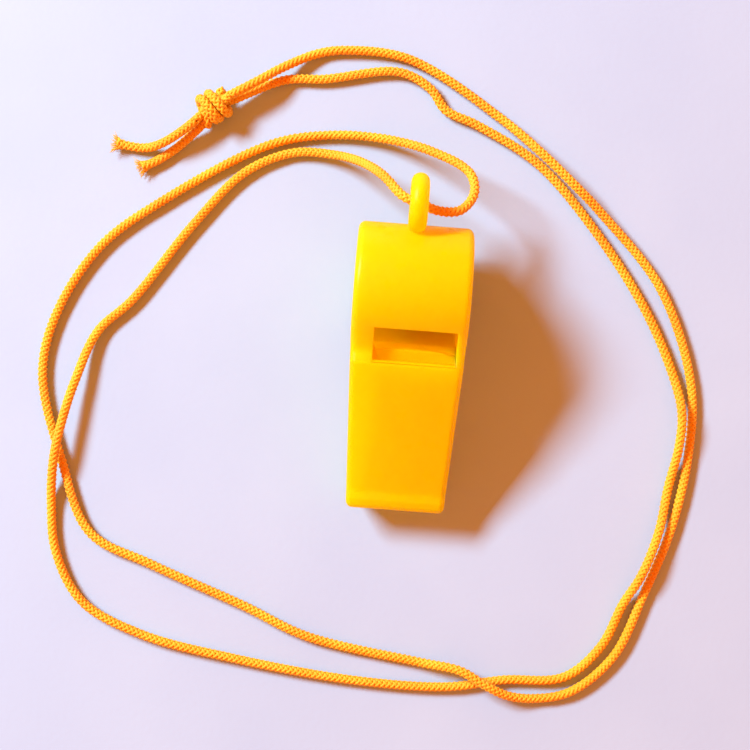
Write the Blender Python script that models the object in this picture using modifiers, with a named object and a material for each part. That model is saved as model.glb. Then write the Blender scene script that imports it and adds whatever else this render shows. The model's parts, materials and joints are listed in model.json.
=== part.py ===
"""Pea whistle with a knotted lanyard, lying on a flat surface.

The whistle is a moulding with a round barrel, a flat mouthpiece and a ring eyelet.  A glued cap
closes the left side of the barrel, and a loose pea runs round inside it.  The lanyard is one thin
braided cord: both halves leave the eyelet and meet again in a knot.

Whistle frame: X is the barrel's axis, the mouthpiece points to -Y and Z is up.  The whistle is
built in that frame and then tipped nose down, so that it rests on the barrel and on the tip.
World frame: the surface is z = 0, and the origin is under the middle of the whistle.
"""

import math

import bmesh
import bpy
from mathutils import Vector

MM = 0.001

# ---- barrel ----
BARREL_RADIUS = 11.5 * MM
BARREL_WALL = 2.0 * MM
CHAMBER_RADIUS = BARREL_RADIUS - BARREL_WALL
BODY_WIDTH = 20.0 * MM
SIDE_WALL = 1.7 * MM
SIDE_ROUND = 1.2 * MM

# ---- mouthpiece, measured from the barrel's axis ----
TIP_REACH = 37.9 * MM
TIP_TOP = 10.9 * MM
TIP_BOTTOM = 2.6 * MM
TIP_WIDTH = 17.4 * MM
TIP_ROUND = 1.3 * MM
TAPER_START = 4.0 * MM
RIDGE_HEIGHT = 0.5 * MM
RIDGE_LENGTH = 2.2 * MM
RIDGE_RAMP = 1.4 * MM
RIDGE_TOP_ROUND = 2.0 * MM
RIDGE_FOOT_ROUND = 2.5 * MM
CREST_DROP = 0.15 * MM
CREST_BACK = 0.3 * MM
CREST_FRONT = 2.8 * MM
CREST_BACK_ROUND = 1.5 * MM
CREST_FRONT_ROUND = 7.0 * MM
VALLEY_DEPTH = 1.2 * MM
VALLEY_ROUND = 2.5 * MM
VALLEY_PLACE = 0.7
ROOT_DROP = 2.0 * MM
ROOT_FILLET = 1.6 * MM
BARREL_ROUND_START = math.radians(97.0)

# ---- air path; the valley is VALLEY_PLACE of the way from the lip to the roof ----
LIP_REACH = 3.2 * MM
LIP_THICKNESS = 0.5 * MM
WINDOW_LENGTH = 6.2 * MM
WINDOW_LEFT_MARGIN = 4.0 * MM
LIP_FOOT = 0.2 * MM
FLOOR_OVERHANG = 1.5 * MM
ROOF_THICKNESS = 1.3 * MM
EXIT_HEIGHT = 1.5 * MM
MOUTH_HEIGHT = 3.4 * MM
MOUTH_WALL = 1.7 * MM

# ---- eyelet ----
EYELET_WIRE = 3.2 * MM
EYELET_OUTER = 10.4 * MM
EYELET_NECK = 0.8 * MM

# ---- side cap and pea ----
CAP_THICKNESS = 1.7 * MM
CAP_SEAT_STEP = 0.6 * MM
SPIGOT_LENGTH = 2.0 * MM
SPIGOT_WALL = 1.3 * MM
PEA_SIDE_ROOM = 1.5 * MM
PEA_CLEARANCE = 0.3 * MM
JOINT_GAP = 0.3 * MM

# ---- lanyard ----
CORD_DIAMETER = 1.8 * MM
CORD_LIFT = 0.05 * MM
CURVE_STEPS = 24
TUBE_TURN = math.radians(18.0)
TUBE_STRETCH = 17.0 * MM
KNOT_SIZE = Vector((6.6, 6.8, 5.6)) * MM
KNOT_PLACE = Vector((-38.1, 40.0, 3.1)) * MM
KNOT_TURN = math.radians(35.0)

BARREL_STEPS = 72
ARC_STEP = math.radians(15.0)
SHARP_ANGLE = math.radians(35.0)
CUT_MARGIN = 1.0 * MM

# The lanyard's middle line in millimetres: both halves from the eyelet to the knot, and two tails.
STRAND_A = [
    (-0.2, 24.2, 17), (-2.8, 25.2, 16.8), (-6.4, 28.8, 13.5), (-10.3, 31.5, 8), (-15.5, 33.2, 2.5),
    (-23, 33.2, 1), (-31.5, 29, 1), (-40, 19, 1), (-50, 4.5, 1), (-55.8, -1.7, 1.2),
    (-59, -11, 2.6), (-60.6, -18, 3.3), (-61.6, -25, 3.3), (-61.8, -33, 1.2), (-60.3, -42, 1),
    (-55, -50.5, 1), (-44, -55.6, 1), (-27, -58.7, 1), (-5, -61, 1), (12, -60.9, 1),
    (22, -58.9, 1), (33, -57.5, 1), (39.2, -51.5, 1), (42.5, -43.5, 1.6), (45.2, -38, 3),
    (47.8, -30, 2.5), (49.1, -22, 1.1), (50.2, -14.5, 2.7), (50.2, -8.5, 3.2), (48.7, -2.5, 1.4),
    (42.8, 9.3, 1), (32.2, 23.5, 1), (21, 34.7, 1), (9.5, 40.8, 1), (3.8, 43, 1),
    (0.8, 46.6, 1), (-5, 49.2, 1), (-18.5, 46.9, 1), (-25.5, 46.2, 1), (-34.6, 41.7, 2.2),
]
STRAND_B = [
    (0.2, 24.2, 17), (3.3, 23.2, 16.6), (7.2, 23.7, 15), (9.5, 27, 13), (8.6, 30.7, 11),
    (2, 34.5, 6.8), (-7, 36.8, 2.3), (-16.5, 36.9, 1), (-27, 34.5, 1), (-46, 22.7, 1),
    (-56.5, 13.7, 1), (-63.5, 1, 1), (-65.2, -10, 1), (-60.5, -25.5, 1), (-54.5, -38, 1),
    (-43, -42.9, 1), (-26, -49, 1), (-14, -53.7, 1), (7, -56.8, 1.4), (14, -57.5, 3),
    (18.5, -59.6, 3.3), (22.8, -61.4, 2.3), (28, -61.8, 1), (34.5, -60, 1), (41.7, -53, 1),
    (46.2, -41.5, 1), (50.2, -29.5, 1), (52.3, -16, 1), (51.8, -3, 1), (45, 13.8, 1),
    (33.2, 26.5, 1.7), (28, 30.9, 3.1), (21.5, 36.3, 3.2), (13.5, 42.5, 1), (-3.5, 51.7, 1),
    (-15, 52.4, 1), (-20, 51.4, 1), (-25.8, 48.3, 2.5), (-30, 45.3, 4), (-34.9, 42.2, 4.4),
]
TAIL_A = [(-40.8, 37.3, 3.9), (-43.3, 35.1, 3.5), (-47, 32.7, 2.6), (-50.3, 32, 1), (-54.8, 32.4, 1)]
TAIL_B = [(-40, 36.5, 2.1), (-44, 32.6, 1), (-47.5, 29.9, 1), (-50, 28.6, 1)]


def clear_scene():
    for old in list(bpy.data.objects):
        bpy.data.objects.remove(old, do_unlink=True)


def new_collection(name, parent):
    collection = bpy.data.collections.new(name)
    parent.children.link(collection)
    return collection


def plastic(name, colour, roughness):
    material = bpy.data.materials.new(name)
    material.use_nodes = True
    shader = material.node_tree.nodes["Principled BSDF"]
    shader.inputs["Base Color"].default_value = (*colour, 1.0)
    shader.inputs["Roughness"].default_value = roughness
    shader.inputs["Metallic"].default_value = 0.0
    return material


def add_object(name, data, collection, material=None, parent=None):
    thing = bpy.data.objects.new(name, data)
    collection.objects.link(thing)
    thing.parent = parent
    if material is not None:
        data.materials.append(material)
    return thing


def finish_mesh(shape, name):
    bmesh.ops.recalc_face_normals(shape, faces=shape.faces[:])
    mesh = bpy.data.meshes.new(name)
    shape.to_mesh(mesh)
    shape.free()
    mesh.shade_smooth()
    mesh.set_sharp_from_angle(angle=SHARP_ANGLE)
    return mesh


def barrel_point(radius, angle):
    """A point of the barrel's round, as (reach, height): 0 is the top, positive is forward."""
    return (radius * math.sin(angle), radius * math.cos(angle))


def round_corners(corners):
    """Replace each (reach, height, radius) corner of a closed outline by an arc of that radius."""
    outline = []
    for index, (reach, height, radius) in enumerate(corners):
        corner = Vector((reach, height))
        if radius == 0.0:
            outline.append(corner)
            continue
        before = (Vector(corners[index - 1][:2]) - corner).normalized()
        after = (Vector(corners[(index + 1) % len(corners)][:2]) - corner).normalized()
        opening = before.angle(after)
        turn = math.pi - opening
        setback = radius / math.tan(opening / 2)
        start = corner + before * setback
        end = corner + after * setback
        middle = corner + (before + after).normalized() * (radius / math.sin(opening / 2))
        steps = max(2, math.ceil(turn / ARC_STEP))
        swing = (start - middle).angle_signed(end - middle)
        for step in range(steps + 1):
            arm = start - middle
            angle = -swing * step / steps
            outline.append(middle + Vector((arm.x * math.cos(angle) - arm.y * math.sin(angle),
                                            arm.x * math.sin(angle) + arm.y * math.cos(angle))))
    return outline


def roof_end():
    return LIP_REACH + WINDOW_LENGTH


def body_outline():
    """The whistle seen from its side: the barrel's round, the crest, the roof, the ridges."""
    roof_top = BARREL_RADIUS - CREST_DROP
    ridge_start = TIP_REACH - RIDGE_LENGTH
    ridge_foot = ridge_start - RIDGE_RAMP
    root_height = TIP_BOTTOM + RIDGE_HEIGHT - ROOT_DROP
    root_reach = math.sqrt(BARREL_RADIUS ** 2 - root_height ** 2)
    corners = [
        (LIP_REACH + WINDOW_LENGTH * VALLEY_PLACE, roof_top - VALLEY_DEPTH, VALLEY_ROUND),
        (roof_end() + CREST_BACK, roof_top, CREST_BACK_ROUND),
        (roof_end() + CREST_FRONT, roof_top, CREST_FRONT_ROUND),
        (ridge_foot, TIP_TOP - RIDGE_HEIGHT, RIDGE_FOOT_ROUND),
        (ridge_start, TIP_TOP, RIDGE_TOP_ROUND),
        (TIP_REACH, TIP_TOP, TIP_ROUND),
        (TIP_REACH, TIP_BOTTOM, TIP_ROUND),
        (ridge_start, TIP_BOTTOM, RIDGE_TOP_ROUND),
        (ridge_foot, TIP_BOTTOM + RIDGE_HEIGHT, RIDGE_FOOT_ROUND),
        (root_reach, root_height, ROOT_FILLET),
    ]
    first = BARREL_ROUND_START
    last = 2 * math.pi + math.asin(LIP_REACH / BARREL_RADIUS)
    count = round(BARREL_STEPS * (last - first) / (2 * math.pi))
    for step in range(count + 1):
        corners.append((*barrel_point(BARREL_RADIUS, first + (last - first) * step / count), 0.0))
    return round_corners(corners)


def half_width(reach):
    """Half the body's width: even round the barrel, then straight to the tip's width."""
    narrowing = (1.0 - TIP_WIDTH / BODY_WIDTH) / (TIP_REACH - TAPER_START)
    return BODY_WIDTH / 2 * (1.0 - narrowing * max(0.0, reach - TAPER_START))


def taper(shape):
    """Narrow the body from TAPER_START to the tip."""
    for vertex in shape.verts:
        vertex.co.x *= half_width(-vertex.co.y) / half_width(0.0)


def prism(outline, left, right):
    """A straight slab with the given side outline, between two X places."""
    shape = bmesh.new()
    corners = [shape.verts.new((left, -point[0], point[1])) for point in outline]
    side = shape.faces.new(corners)
    swept = bmesh.ops.extrude_face_region(shape, geom=[side])
    moved = [item for item in swept["geom"] if isinstance(item, bmesh.types.BMVert)]
    bmesh.ops.translate(shape, verts=moved, vec=(right - left, 0.0, 0.0))
    bmesh.ops.recalc_face_normals(shape, faces=shape.faces[:])
    return shape


def body_block():
    """The solid whistle before it is hollowed: rounded side edges and a tapered mouthpiece."""
    shape = prism(body_outline(), -BODY_WIDTH / 2, BODY_WIDTH / 2)
    sides = [face for face in shape.faces if abs(face.normal.x) > 0.9]
    rim = {edge for face in sides for edge in face.edges}
    bmesh.ops.bevel(shape, geom=list(rim), offset=SIDE_ROUND, offset_type="OFFSET", segments=2,
                    profile=0.5, affect="EDGES", clamp_overlap=False, material=-1)
    bmesh.ops.bisect_plane(shape, geom=shape.verts[:] + shape.edges[:] + shape.faces[:],
                           plane_co=(0.0, -TAPER_START, 0.0), plane_no=(0.0, 1.0, 0.0))
    taper(shape)
    return finish_mesh(shape, "whistle_body")


def turned(name, profile, collection, parent, material=None):
    """Turn a (radius, X place) profile about the barrel's axis; it runs from high X to low X."""
    mesh = bpy.data.meshes.new(name)
    points = [(radius, 0.0, place) for radius, place in profile]
    mesh.from_pydata(points, [(index, index + 1) for index in range(len(points) - 1)], [])
    thing = add_object(name, mesh, collection, material, parent)
    thing.rotation_euler = (0.0, math.pi / 2, 0.0)
    screw = thing.modifiers.new("turn", "SCREW")
    screw.axis = "Z"
    screw.steps = BARREL_STEPS
    screw.render_steps = BARREL_STEPS
    screw.use_merge_vertices = True
    screw.merge_threshold = 0.00001
    screw.use_smooth_shade = True
    return thing


def make_tool(thing):
    """A cutter or a piece to be joined: drawn as wire and left out of renders."""
    thing.hide_render = True
    thing.display_type = "WIRE"
    return thing


def boolean(target, tool, operation):
    step = target.modifiers.new(tool.name, "BOOLEAN")
    step.operation = operation
    step.solver = "EXACT"
    step.object = tool


def eyelet_reach():
    """How far the middle of the ring is behind the barrel's axis."""
    return BARREL_RADIUS - EYELET_NECK + EYELET_OUTER / 2


def eyelet_ring(collection, parent):
    bpy.ops.mesh.primitive_torus_add(major_radius=(EYELET_OUTER - EYELET_WIRE) / 2,
                                     minor_radius=EYELET_WIRE / 2, major_segments=40,
                                     minor_segments=16, location=(0.0, eyelet_reach(), 0.0),
                                     rotation=(0.0, math.pi / 2, 0.0))
    ring = bpy.context.object
    ring.name = "eyelet_ring"
    for old in list(ring.users_collection):
        old.objects.unlink(ring)
    collection.objects.link(ring)
    ring.parent = parent
    return make_tool(ring)


def chamber_cutters(collection, parent):
    """The pea's chamber, open on the left, and the step that the side cap sits in."""
    outside = -BODY_WIDTH / 2 - CUT_MARGIN
    right_end = BODY_WIDTH / 2 - SIDE_WALL
    seat_end = -BODY_WIDTH / 2 + CAP_THICKNESS + JOINT_GAP
    chamber = [(0.0, right_end), (CHAMBER_RADIUS, right_end), (CHAMBER_RADIUS, outside),
               (0.0, outside)]
    seat_radius = CHAMBER_RADIUS + CAP_SEAT_STEP
    seat = [(0.0, seat_end), (seat_radius, seat_end), (seat_radius, outside), (0.0, outside)]
    return [make_tool(turned("cut_chamber", chamber, collection, parent)),
            make_tool(turned("cut_cap_seat", seat, collection, parent))]


def roof_underside():
    return BARREL_RADIUS - CREST_DROP - ROOF_THICKNESS


def window_cutter(collection, parent):
    """The sound window between the lip and the roof's end, down into the chamber."""
    floor_end = roof_end() - FLOOR_OVERHANG
    underside = roof_underside()
    lip_top = math.sqrt(BARREL_RADIUS ** 2 - LIP_REACH ** 2)
    above = BARREL_RADIUS + CUT_MARGIN
    deep = CHAMBER_RADIUS / 2
    outline = [
        (floor_end, deep),
        (0.0, deep),
        (0.0, CHAMBER_RADIUS - LIP_FOOT),
        (LIP_REACH, lip_top - LIP_THICKNESS),
        (LIP_REACH, above),
        (roof_end(), above),
        (roof_end(), underside - EXIT_HEIGHT / 2),
        (floor_end, underside - EXIT_HEIGHT / 2),
    ]
    shape = prism(outline, -BODY_WIDTH / 2 + WINDOW_LEFT_MARGIN, BODY_WIDTH / 2 - SIDE_WALL)
    return make_tool(add_object("cut_window", finish_mesh(shape, "cut_window"), collection,
                                parent=parent))


def windway_cutter(collection, parent):
    """The flat air path from the mouth to the window, wider and taller at the mouth."""
    start = roof_end() - FLOOR_OVERHANG - CUT_MARGIN
    end = TIP_REACH + CUT_MARGIN
    underside = roof_underside()
    mouth_top = TIP_TOP - MOUTH_WALL
    heights = [(underside - EXIT_HEIGHT, underside), (mouth_top - MOUTH_HEIGHT, mouth_top)]
    mouth_half = half_width(TIP_REACH) - MOUTH_WALL
    widths = [(-BODY_WIDTH / 2 + WINDOW_LEFT_MARGIN, BODY_WIDTH / 2 - SIDE_WALL),
              (-mouth_half, mouth_half)]
    shape = bmesh.new()
    loops = []
    for reach, (low, high), (left, right) in zip((start, end), heights, widths):
        loops.append([shape.verts.new((x, -reach, z))
                      for x, z in ((left, low), (right, low), (right, high), (left, high))])
    for loop in loops:
        shape.faces.new(loop)
    for index in range(4):
        following = (index + 1) % 4
        shape.faces.new((loops[0][index], loops[0][following], loops[1][following],
                         loops[1][index]))
    return make_tool(add_object("cut_windway", finish_mesh(shape, "cut_windway"), collection,
                                parent=parent))


def whistle_body(parts, tools, frame, material):
    body = add_object("whistle_body", body_block(), parts, material, frame)
    boolean(body, eyelet_ring(tools, frame), "UNION")
    for cutter in chamber_cutters(tools, frame):
        boolean(body, cutter, "DIFFERENCE")
    boolean(body, window_cutter(tools, frame), "DIFFERENCE")
    boolean(body, windway_cutter(tools, frame), "DIFFERENCE")


def side_cap(parts, frame, material):
    """A disc that fills the seat, with a spigot ring that enters the chamber."""
    outer = -BODY_WIDTH / 2
    inner = outer + CAP_THICKNESS
    spigot_outside = CHAMBER_RADIUS - JOINT_GAP
    spigot_inside = spigot_outside - SPIGOT_WALL
    spigot_end = inner + SPIGOT_LENGTH
    cap_radius = CHAMBER_RADIUS + CAP_SEAT_STEP - JOINT_GAP
    profile = [(0.0, inner), (spigot_inside, inner), (spigot_inside, spigot_end),
               (spigot_outside, spigot_end), (spigot_outside, inner), (cap_radius, inner),
               (cap_radius, outer), (0.0, outer)]
    turned("side_cap", profile, parts, frame, material)


def pea_space():
    """Where the pea can be across the chamber: from the spigot's end to the right wall."""
    return (-BODY_WIDTH / 2 + CAP_THICKNESS + SPIGOT_LENGTH, BODY_WIDTH / 2 - SIDE_WALL)


def pea(parts, centre, material):
    """The loose ball, at rest on the bottom of the chamber; its origin is on the barrel's axis."""
    left, right = pea_space()
    radius = (right - left) / 2 - PEA_SIDE_ROOM
    orbit = CHAMBER_RADIUS - radius - PEA_CLEARANCE
    shape = bmesh.new()
    bmesh.ops.create_uvsphere(shape, u_segments=28, v_segments=16, radius=radius)
    bmesh.ops.translate(shape, verts=shape.verts[:], vec=((left + right) / 2, 0.0, -orbit))
    ball = add_object("pea", finish_mesh(shape, "pea"), parts, material)
    ball.location = centre


def blend(first, last, first_time, last_time, time):
    """The point that a straight run between two timed points reaches at a time."""
    return first + (last - first) * (time - first_time) / (last_time - first_time)


def smooth_curve(route):
    """Fine points of the smooth curve through a route (a centripetal Catmull-Rom curve)."""
    places = [Vector(place) * MM for place in route]
    places = [2 * places[0] - places[1]] + places + [2 * places[-1] - places[-2]]
    curve = []
    for index in range(1, len(places) - 2):
        near = places[index - 1:index + 3]
        times = [0.0]
        for before, after in zip(near, near[1:]):
            times.append(times[-1] + math.sqrt((after - before).length))
        for step in range(CURVE_STEPS):
            time = times[1] + (times[2] - times[1]) * step / CURVE_STEPS
            straight = [blend(near[at], near[at + 1], times[at], times[at + 1], time)
                        for at in range(3)]
            bent = [blend(straight[at], straight[at + 1], times[at], times[at + 2], time)
                    for at in range(2)]
            curve.append(blend(bent[0], bent[1], times[1], times[2], time))
    curve.append(places[-2])
    for point in curve:
        point.z = max(point.z, CORD_DIAMETER / 2 + CORD_LIFT)
    return curve


def tube_points(curve):
    """The few points that a tube needs: one wherever the cord has turned enough or run far."""
    kept = [curve[0]]
    heading = curve[1] - curve[0]
    for point, following in zip(curve[1:], curve[2:]):
        turned_enough = heading.angle(following - point) > TUBE_TURN
        if turned_enough or (point - kept[-1]).length > TUBE_STRETCH:
            kept.append(point)
            heading = following - point
    if (curve[-1] - kept[-1]).length < CORD_DIAMETER:
        kept.pop()
    return kept + [curve[-1]]


def cord(name, route, parts, material):
    """One stretch of the lanyard as a plain round tube along its route."""
    curve = bpy.data.curves.new(name, "CURVE")
    curve.dimensions = "3D"
    curve.bevel_depth = CORD_DIAMETER / 2
    curve.bevel_resolution = 2
    curve.use_fill_caps = True
    points = tube_points(smooth_curve(route))
    line = curve.splines.new("POLY")
    line.points.add(len(points) - 1)
    for corner, point in zip(line.points, points):
        corner.co = (*point, 1.0)
    add_object(name, curve, parts, material)


def knot(parts, material):
    shape = bmesh.new()
    bmesh.ops.create_uvsphere(shape, u_segments=24, v_segments=14, radius=0.5)
    bmesh.ops.scale(shape, verts=shape.verts[:], vec=KNOT_SIZE)
    lump = add_object("lanyard_knot", finish_mesh(shape, "lanyard_knot"), parts, material)
    lump.location = KNOT_PLACE
    lump.rotation_euler = (0.0, 0.0, KNOT_TURN)


def resting_tilt():
    """The nose-down angle at which the barrel and the tip's lower edge are both on the surface."""
    edge = Vector((TIP_REACH - TIP_ROUND, TIP_BOTTOM + TIP_ROUND))
    return math.atan2(edge.y, edge.x) + math.asin((BARREL_RADIUS - TIP_ROUND) / edge.length)


def barrel_axis_place(tilt):
    """Where the barrel's axis goes, so that the whistle's middle is over the origin."""
    forward = max(point.x * math.cos(tilt) + point.y * math.sin(tilt) for point in body_outline())
    backward = eyelet_reach() * math.cos(tilt) + EYELET_OUTER / 2
    return Vector((0.0, (forward - backward) / 2, BARREL_RADIUS))


def build():
    clear_scene()
    whistle = new_collection("training_whistle", bpy.context.scene.collection)
    tools = new_collection("tools", bpy.context.scene.collection)
    yellow = plastic("yellow_plastic", (1.0, 0.62, 0.01), 0.3)
    pale = plastic("pea_cork", (0.55, 0.36, 0.2), 0.8)
    golden = plastic("golden_cord", (1.0, 0.45, 0.02), 0.7)

    tilt = resting_tilt()
    centre = barrel_axis_place(tilt)
    frame = bpy.data.objects.new("whistle_frame", None)
    tools.objects.link(frame)
    frame.location = centre
    frame.rotation_euler = (tilt, 0.0, 0.0)

    whistle_body(whistle, tools, frame, yellow)
    side_cap(whistle, frame, yellow)
    pea(whistle, centre, pale)
    cord("lanyard_strand_a", STRAND_A, whistle, golden)
    cord("lanyard_strand_b", STRAND_B, whistle, golden)
    knot(whistle, golden)
    cord("cord_tail_a", TAIL_A, whistle, golden)
    cord("cord_tail_b", TAIL_B, whistle, golden)


build()
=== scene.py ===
"""Looks for a yellow pea whistle on a knotted, braided lanyard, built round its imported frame.

Everything is in metres, in the frame of the solids: the surface is z = 0, the mouthpiece points
towards -Y and the barrel's axis runs along X.
"""

import json
import math
import random

import bmesh
import bpy
from mathutils import Matrix, Vector, noise


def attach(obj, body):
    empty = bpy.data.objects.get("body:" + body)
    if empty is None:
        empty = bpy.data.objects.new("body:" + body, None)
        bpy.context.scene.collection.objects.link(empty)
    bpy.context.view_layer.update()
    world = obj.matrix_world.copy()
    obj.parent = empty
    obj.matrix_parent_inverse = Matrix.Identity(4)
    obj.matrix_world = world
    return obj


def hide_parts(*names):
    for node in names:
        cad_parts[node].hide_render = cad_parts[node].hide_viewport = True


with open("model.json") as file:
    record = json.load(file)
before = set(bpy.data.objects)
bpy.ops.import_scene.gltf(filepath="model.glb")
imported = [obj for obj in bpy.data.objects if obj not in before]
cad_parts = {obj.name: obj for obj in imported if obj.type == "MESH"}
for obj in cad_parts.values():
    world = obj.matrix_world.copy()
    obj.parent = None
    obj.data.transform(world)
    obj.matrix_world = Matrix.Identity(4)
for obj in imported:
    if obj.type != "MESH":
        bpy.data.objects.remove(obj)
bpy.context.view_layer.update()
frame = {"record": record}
MM = 0.001


# ---- Camera ----
# One camera straight above the table, turned a little, close enough that the whistle's far parts
# look larger than the cord that lies on the table.
CAMERA_LENS = 79.4
CAMERA_PLACE = (-0.00526, -0.00571, 0.300)
CAMERA_TURN = math.radians(4.4)
camera_data = bpy.data.cameras.new("camera")
camera_data.lens = CAMERA_LENS
camera_data.sensor_width = 36.0
camera = bpy.data.objects.new("camera", camera_data)
camera.location = CAMERA_PLACE
camera.rotation_euler = (0.0, 0.0, CAMERA_TURN)
bpy.context.scene.collection.objects.link(camera)
bpy.context.scene.camera = camera


# ---- Lanyard: the two halves ----
# One braided cord of eight soft yarns, four wound each way round a thin core, passing over and
# under each other.  It is threaded through the eyelet, and its halves lie loose on the table and
# meet in the knot.
CORD_DIAMETER = 1.8 * MM
CORD_LIFT = 0.05 * MM
CURVE_STEPS = 24
BRAID_LAY = 3.6 * MM
YARN_RADIUS = 0.27 * MM
YARN_RING = 0.54 * MM
YARN_WAVE = 0.10 * MM
YARNS_EACH_WAY = 4
POINTS_A_TURN = 16
CORE_RADIUS = 0.62 * MM
CORE_STEP = 1.2 * MM
FIBRES = 7.0
FIBRE_STRETCH = 400.0
SAME_POINT = 0.00001 * MM
YARN_LIGHT_THROUGH = 0.15

STRAND_A = [
    (-0.2, 24.2, 17), (-2.8, 25.2, 16.8), (-6.4, 28.8, 13.5), (-10.3, 31.5, 8), (-15.5, 33.2, 2.5),
    (-23, 33.2, 1), (-31.5, 29, 1), (-40, 19, 1), (-50, 4.5, 1), (-55.8, -1.7, 1.2),
    (-59, -11, 2.6), (-60.6, -18, 3.3), (-61.6, -25, 3.3), (-61.8, -33, 1.2), (-60.3, -42, 1),
    (-55, -50.5, 1), (-44, -55.6, 1), (-27, -58.7, 1), (-5, -61, 1), (12, -60.9, 1),
    (22, -58.9, 1), (33, -57.5, 1), (39.2, -51.5, 1), (42.5, -43.5, 1.6), (45.2, -38, 3),
    (47.8, -30, 2.5), (49.1, -22, 1.1), (50.2, -14.5, 2.7), (50.2, -8.5, 3.2), (48.7, -2.5, 1.4),
    (42.8, 9.3, 1), (32.2, 23.5, 1), (21, 34.7, 1), (9.5, 40.8, 1), (3.8, 43, 1),
    (0.8, 46.6, 1), (-5, 49.2, 1), (-18.5, 46.9, 1), (-25.5, 46.2, 1), (-34.6, 41.7, 2.2),
]
STRAND_B = [
    (0.2, 24.2, 17), (3.3, 23.2, 16.6), (7.2, 23.7, 15), (9.5, 27, 13), (8.6, 30.7, 11),
    (2, 34.5, 6.8), (-7, 36.8, 2.3), (-16.5, 36.9, 1), (-27, 34.5, 1), (-46, 22.7, 1),
    (-56.5, 13.7, 1), (-63.5, 1, 1), (-65.2, -10, 1), (-60.5, -25.5, 1), (-54.5, -38, 1),
    (-43, -42.9, 1), (-26, -49, 1), (-14, -53.7, 1), (7, -56.8, 1.4), (14, -57.5, 3),
    (18.5, -59.6, 3.3), (22.8, -61.4, 2.3), (28, -61.8, 1), (34.5, -60, 1), (41.7, -53, 1),
    (46.2, -41.5, 1), (50.2, -29.5, 1), (52.3, -16, 1), (51.8, -3, 1), (45, 13.8, 1),
    (33.2, 26.5, 1.7), (28, 30.9, 3.1), (21.5, 36.3, 3.2), (13.5, 42.5, 1), (-3.5, 51.7, 1),
    (-15, 52.4, 1), (-20, 51.4, 1), (-25.8, 48.3, 2.5), (-30, 45.3, 4), (-34.9, 42.2, 4.4),
]


def on_line(first, last, first_time, last_time, time):
    """The point that a straight run between two timed points reaches at a time."""
    return first + (last - first) * (time - first_time) / (last_time - first_time)


def smooth_curve(route, lowest=CORD_DIAMETER / 2 + CORD_LIFT):
    """Fine points of the smooth curve through a route in millimetres, kept up on the table."""
    places = [Vector(place) * MM for place in route]
    places = [2 * places[0] - places[1]] + places + [2 * places[-1] - places[-2]]
    curve = []
    for index in range(1, len(places) - 2):
        near = places[index - 1:index + 3]
        times = [0.0]
        for before, after in zip(near, near[1:]):
            times.append(times[-1] + math.sqrt((after - before).length))
        for step in range(CURVE_STEPS):
            time = times[1] + (times[2] - times[1]) * step / CURVE_STEPS
            straight = [on_line(near[at], near[at + 1], times[at], times[at + 1], time)
                        for at in range(3)]
            bent = [on_line(straight[at], straight[at + 1], times[at], times[at + 2], time)
                    for at in range(2)]
            curve.append(on_line(bent[0], bent[1], times[1], times[2], time))
    curve.append(places[-2])
    for point in curve:
        point.z = max(point.z, lowest)
    return curve


def run_length(curve):
    """The length of a curve along its points."""
    return sum((after - before).length for before, after in zip(curve, curve[1:]))


def even_points(curve, step):
    """Points a nearly even step apart along a fine curve, its two ends among them."""
    whole = run_length(curve)
    count = max(2, round(whole / step))
    points = [curve[0].copy()]
    walked = 0.0
    for before, after in zip(curve, curve[1:]):
        length = (after - before).length
        while len(points) < count and walked + length >= whole * len(points) / count:
            share = (whole * len(points) / count - walked) / length
            points.append(before.lerp(after, share))
        walked += length
    points.append(curve[-1].copy())
    return points


def carried_frames(points):
    """At each point, two directions across the cord that turn as little as they can."""
    headings = [(after - before).normalized() for before, after in zip(points, points[1:])]
    headings.append(headings[-1])
    across = headings[0].orthogonal().normalized()
    frames = []
    for before, heading in zip([headings[0]] + headings, headings):
        across = before.rotation_difference(heading) @ across
        across = (across - heading * across.dot(heading)).normalized()
        frames.append((across, heading.cross(across)))
    return frames


def add_line(curve_data, points, radius=1.0):
    """One more tube along the points, its radius a multiple of the curve's own."""
    line = curve_data.splines.new("POLY")
    line.points.add(len(points) - 1)
    for corner, point in zip(line.points, points):
        corner.co = (*point, 1.0)
        corner.radius = radius


def curve_to_mesh(curve_data, name):
    """A curve's tubes as one mesh piece, with their end caps joined on."""
    curve_data.dimensions = "3D"
    curve_data.use_fill_caps = True
    holder = bpy.data.objects.new(name, curve_data)
    bpy.context.scene.collection.objects.link(holder)
    bpy.context.view_layer.update()
    mesh = bpy.data.meshes.new_from_object(
        holder.evaluated_get(bpy.context.evaluated_depsgraph_get()))
    bpy.data.objects.remove(holder, do_unlink=True)
    bpy.data.curves.remove(curve_data)
    shape = bmesh.new()
    shape.from_mesh(mesh)
    bmesh.ops.remove_doubles(shape, verts=shape.verts[:], dist=SAME_POINT)
    shape.to_mesh(mesh)
    shape.free()
    mesh.name = name
    mesh.shade_smooth()
    piece = bpy.data.objects.new(name, mesh)
    bpy.context.scene.collection.objects.link(piece)
    return piece


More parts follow.
